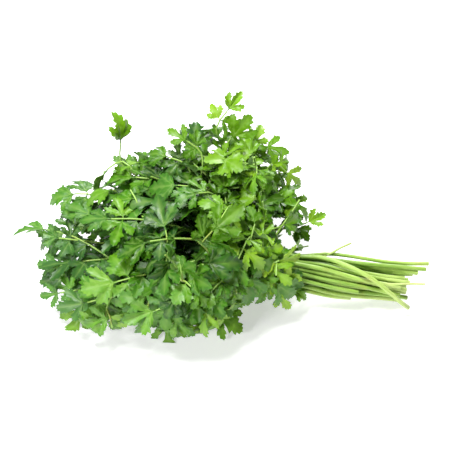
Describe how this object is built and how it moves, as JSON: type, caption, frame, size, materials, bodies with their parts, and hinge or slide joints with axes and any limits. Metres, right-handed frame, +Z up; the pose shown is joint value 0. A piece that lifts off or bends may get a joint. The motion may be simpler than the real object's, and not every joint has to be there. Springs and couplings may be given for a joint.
{
  "type": "parsley bunch",
  "caption": "Bunch of cut flat-leaf parsley lying on its side: slender pale stems gathered in a tight neck, opening into a dense head of lobed green leaflets.",
  "frame": {"origin": "on the table under the middle of the bunch's footprint", "axes": "+X from the leafy head to the cut stem ends, +Y to the back, +Z up"},
  "size_m": [0.3249, 0.2014, 0.142],
  "materials": {
    "parsley": "soft satin leaf green, paler and yellower along the stems"
  },
  "bodies": {
    "root": {"leafy_stem_01": "parsley", "leafy_stem_02": "parsley", "leafy_stem_03": "parsley", "leafy_stem_04": "parsley", "leafy_stem_05": "parsley", "leafy_stem_06": "parsley", "leafy_stem_07": "parsley", "leafy_stem_08": "parsley", "leafy_stem_09": "parsley", "leafy_stem_10": "parsley", "leafy_stem_11": "parsley", "leafy_stem_12": "parsley", "leafy_stem_13": "parsley", "leafy_stem_14": "parsley", "leafy_stem_15": "parsley", "leafy_stem_16": "parsley", "leafy_stem_17": "parsley", "leafy_stem_18": "parsley", "leafy_stem_19": "parsley", "leafy_stem_20": "parsley", "leafy_stem_21": "parsley", "leafy_stem_22": "parsley", "leafy_stem_23": "parsley", "leafy_stem_24": "parsley", "leafy_stem_25": "parsley", "leafy_stem_26": "parsley", "leafy_stem_27": "parsley", "leafy_stem_28": "parsley", "leafy_stem_29": "parsley", "leafy_stem_30": "parsley", "leafy_stem_31": "parsley", "leafy_stem_32": "parsley", "leafy_stem_33": "parsley", "leafy_stem_34": "parsley"}
  },
  "joints": []
}
